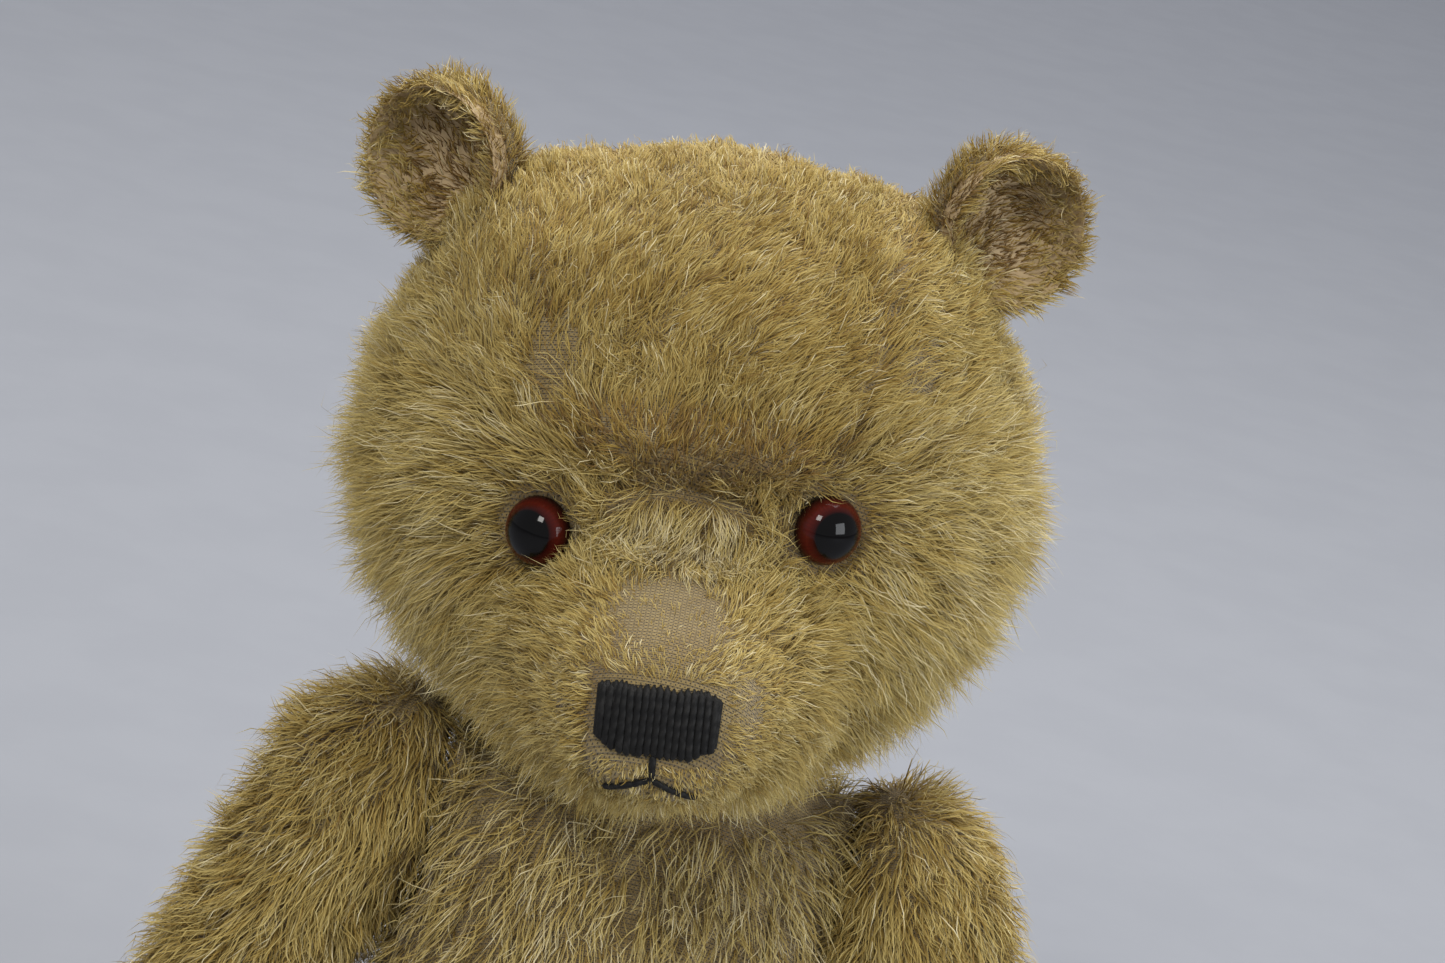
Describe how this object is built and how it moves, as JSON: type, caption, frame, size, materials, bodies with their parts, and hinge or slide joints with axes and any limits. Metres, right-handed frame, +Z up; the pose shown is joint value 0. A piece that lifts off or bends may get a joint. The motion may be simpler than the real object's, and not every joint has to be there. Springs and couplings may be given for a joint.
{
  "type": "jointed teddy bear",
  "caption": "Old golden mohair teddy bear with a turning head and disc-jointed arms and legs, sitting.",
  "frame": {"origin": "under the trunk on the surface the bear sits on", "axes": "+Z up, -Y the way the bear faces, +X the bear's left"},
  "size_m": [0.1662, 0.1428, 0.2256],
  "materials": {
    "mohair": "matte",
    "ear_lining": "matte",
    "felt": "matte",
    "stuffing": "matte",
    "fibreboard": "matte",
    "steel": "satin",
    "eye_glass": "gloss",
    "eye_iris": "gloss",
    "eye_pupil": "gloss",
    "yarn": "satin"
  },
  "bodies": {
    "trunk": {"trunk_left_panel": "mohair", "trunk_right_panel": "mohair", "trunk_stuffing": "stuffing", "trunk_washers": "steel", "neck_trunk_disc": "fibreboard", "left_shoulder_trunk_disc": "fibreboard", "left_hip_trunk_disc": "fibreboard", "right_shoulder_trunk_disc": "fibreboard", "right_hip_trunk_disc": "fibreboard"},
    "head": {"head_gusset": "mohair", "head_left_side": "mohair", "head_right_side": "mohair", "head_stuffing": "stuffing", "neck_head_disc": "fibreboard", "neck_head_washer": "steel", "neck_cotter_pin": "steel", "nose_stitching": "yarn", "mouth_stitching": "yarn", "left_ear_front": "ear_lining", "left_ear_back": "mohair", "left_eye_glass": "eye_glass", "left_eye_iris": "eye_iris", "left_eye_pupil": "eye_pupil", "left_eye_shank": "steel", "right_ear_front": "ear_lining", "right_ear_back": "mohair", "right_eye_glass": "eye_glass", "right_eye_iris": "eye_iris", "right_eye_pupil": "eye_pupil", "right_eye_shank": "steel"},
    "left_arm": {"left_arm_outer_panel": "mohair", "left_arm_inner_panel": "mohair", "left_paw_pad": "felt", "left_arm_stuffing": "stuffing", "left_shoulder_arm_disc": "fibreboard", "left_shoulder_arm_washer": "steel", "left_shoulder_cotter_pin": "steel"},
    "right_arm": {"right_arm_outer_panel": "mohair", "right_arm_inner_panel": "mohair", "right_paw_pad": "felt", "right_arm_stuffing": "stuffing", "right_shoulder_arm_disc": "fibreboard", "right_shoulder_arm_washer": "steel", "right_shoulder_cotter_pin": "steel"},
    "left_leg": {"left_leg_outer_panel": "mohair", "left_leg_inner_panel": "mohair", "left_foot_pad": "felt", "left_insole_card": "fibreboard", "left_leg_stuffing": "stuffing", "left_hip_leg_disc": "fibreboard", "left_hip_leg_washer": "steel", "left_hip_cotter_pin": "steel"},
    "right_leg": {"right_leg_outer_panel": "mohair", "right_leg_inner_panel": "mohair", "right_foot_pad": "felt", "right_insole_card": "fibreboard", "right_leg_stuffing": "stuffing", "right_hip_leg_disc": "fibreboard", "right_hip_leg_washer": "steel", "right_hip_cotter_pin": "steel"}
  },
  "joints": [
    {"name": "neck_turn", "type": "hinge", "parent": "trunk", "child": "head", "pos_m": [0, 0, 0.122], "axis": [-0.1045, 0, 0.9945], "continuous": true},
    {"name": "left_shoulder_turn", "type": "hinge", "parent": "trunk", "child": "left_arm", "pos_m": [0.032, 0, 0.109], "axis": [-1, 0, 0], "range_deg": [-140, 140]},
    {"name": "right_shoulder_turn", "type": "hinge", "parent": "trunk", "child": "right_arm", "pos_m": [-0.032, 0, 0.109], "axis": [-1, 0, 0], "range_deg": [-140, 140]},
    {"name": "left_hip_turn", "type": "hinge", "parent": "trunk", "child": "left_leg", "pos_m": [0.032, 0, 0.02], "axis": [-1, 0, 0], "range_deg": [-110, 30]},
    {"name": "right_hip_turn", "type": "hinge", "parent": "trunk", "child": "right_leg", "pos_m": [-0.032, 0, 0.02], "axis": [-1, 0, 0], "range_deg": [-110, 30]}
  ]
}
